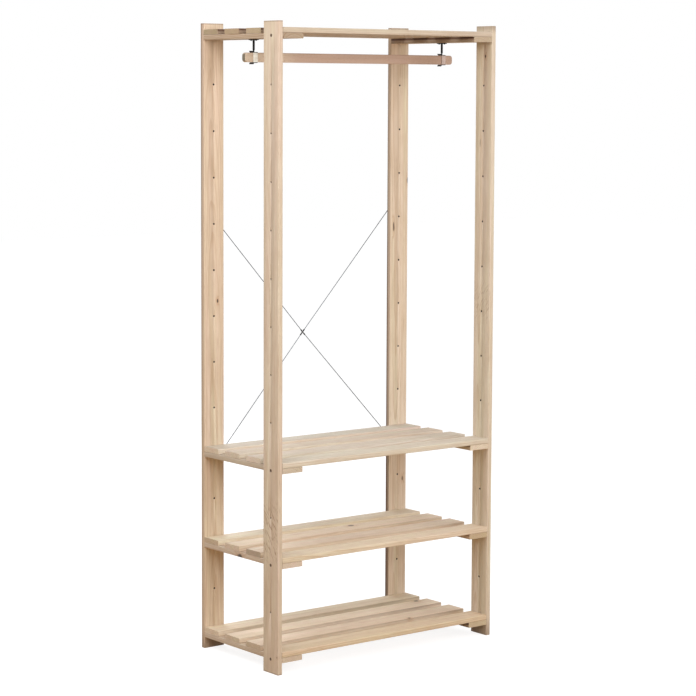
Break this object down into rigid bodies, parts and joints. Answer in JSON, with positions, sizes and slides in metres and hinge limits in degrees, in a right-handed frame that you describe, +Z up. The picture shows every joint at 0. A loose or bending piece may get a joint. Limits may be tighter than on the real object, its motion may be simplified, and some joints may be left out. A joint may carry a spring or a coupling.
{
  "type": "open frame wardrobe",
  "caption": "Open wooden wardrobe frame with slatted shelves, a flat clothes rod hung under the top shelf and crossed brace wires at the back.",
  "frame": {"origin": "middle of the bounding box at the floor, under the four posts", "axes": "+X to the wardrobe's right as seen from the front, +Y to the back, +Z up; the front looks along -Y"},
  "size_m": [0.7416, 0.3762, 1.7],
  "materials": {
    "pine": "planed and sanded bare pine, lengthwise grain, small knots",
    "rod_wood": "smooth close-grained hardwood, slightly pinker than the boards",
    "screw_steel": "darkened zinc",
    "black_steel": "black, half matt",
    "bright_steel": "bright zinc strip",
    "wire_steel": "plain grey steel wire"
  },
  "bodies": {
    "root": {"front_post_left": "pine", "front_post_right": "pine", "rear_post_left": "pine", "rear_post_right": "pine", "bottom_shelf_slat_1": "pine", "bottom_shelf_slat_2": "pine", "bottom_shelf_slat_3": "pine", "bottom_shelf_slat_4": "pine", "bottom_shelf_batten_left": "pine", "bottom_shelf_batten_right": "pine", "middle_shelf_slat_1": "pine", "middle_shelf_slat_2": "pine", "middle_shelf_slat_3": "pine", "middle_shelf_slat_4": "pine", "middle_shelf_batten_left": "pine", "middle_shelf_batten_right": "pine", "seat_shelf_slat_1": "pine", "seat_shelf_slat_2": "pine", "seat_shelf_slat_3": "pine", "seat_shelf_slat_4": "pine", "seat_shelf_batten_left": "pine", "seat_shelf_batten_right": "pine", "top_shelf_slat_1": "pine", "top_shelf_slat_2": "pine", "top_shelf_slat_3": "pine", "top_shelf_slat_4": "pine", "top_shelf_batten_left": "pine", "top_shelf_batten_right": "pine", "bottom_shelf_screw_front_left": "screw_steel", "bottom_shelf_screw_front_right": "screw_steel", "bottom_shelf_screw_rear_left": "screw_steel", "bottom_shelf_screw_rear_right": "screw_steel", "middle_shelf_screw_front_left": "screw_steel", "middle_shelf_screw_front_right": "screw_steel", "middle_shelf_screw_rear_left": "screw_steel", "middle_shelf_screw_rear_right": "screw_steel", "seat_shelf_screw_front_left": "screw_steel", "seat_shelf_screw_front_right": "screw_steel", "seat_shelf_screw_rear_left": "screw_steel", "seat_shelf_screw_rear_right": "screw_steel", "top_shelf_screw_front_left": "screw_steel", "top_shelf_screw_front_right": "screw_steel", "top_shelf_screw_rear_left": "screw_steel", "top_shelf_screw_rear_right": "screw_steel", "hanging_rod": "rod_wood", "hanger_bracket_left": "black_steel", "hanger_bracket_right": "black_steel", "rod_clip_left": "bright_steel", "rod_clip_right": "bright_steel", "hanger_screw_left_front": "black_steel", "hanger_screw_left_rear": "black_steel", "hanger_screw_right_front": "black_steel", "hanger_screw_right_rear": "black_steel", "brace_wire_falling": "wire_steel", "brace_wire_rising": "wire_steel", "brace_clip": "wire_steel", "brace_screw_lower_left": "screw_steel", "brace_screw_lower_right": "screw_steel", "brace_screw_upper_left": "screw_steel", "brace_screw_upper_right": "screw_steel"}
  },
  "joints": []
}
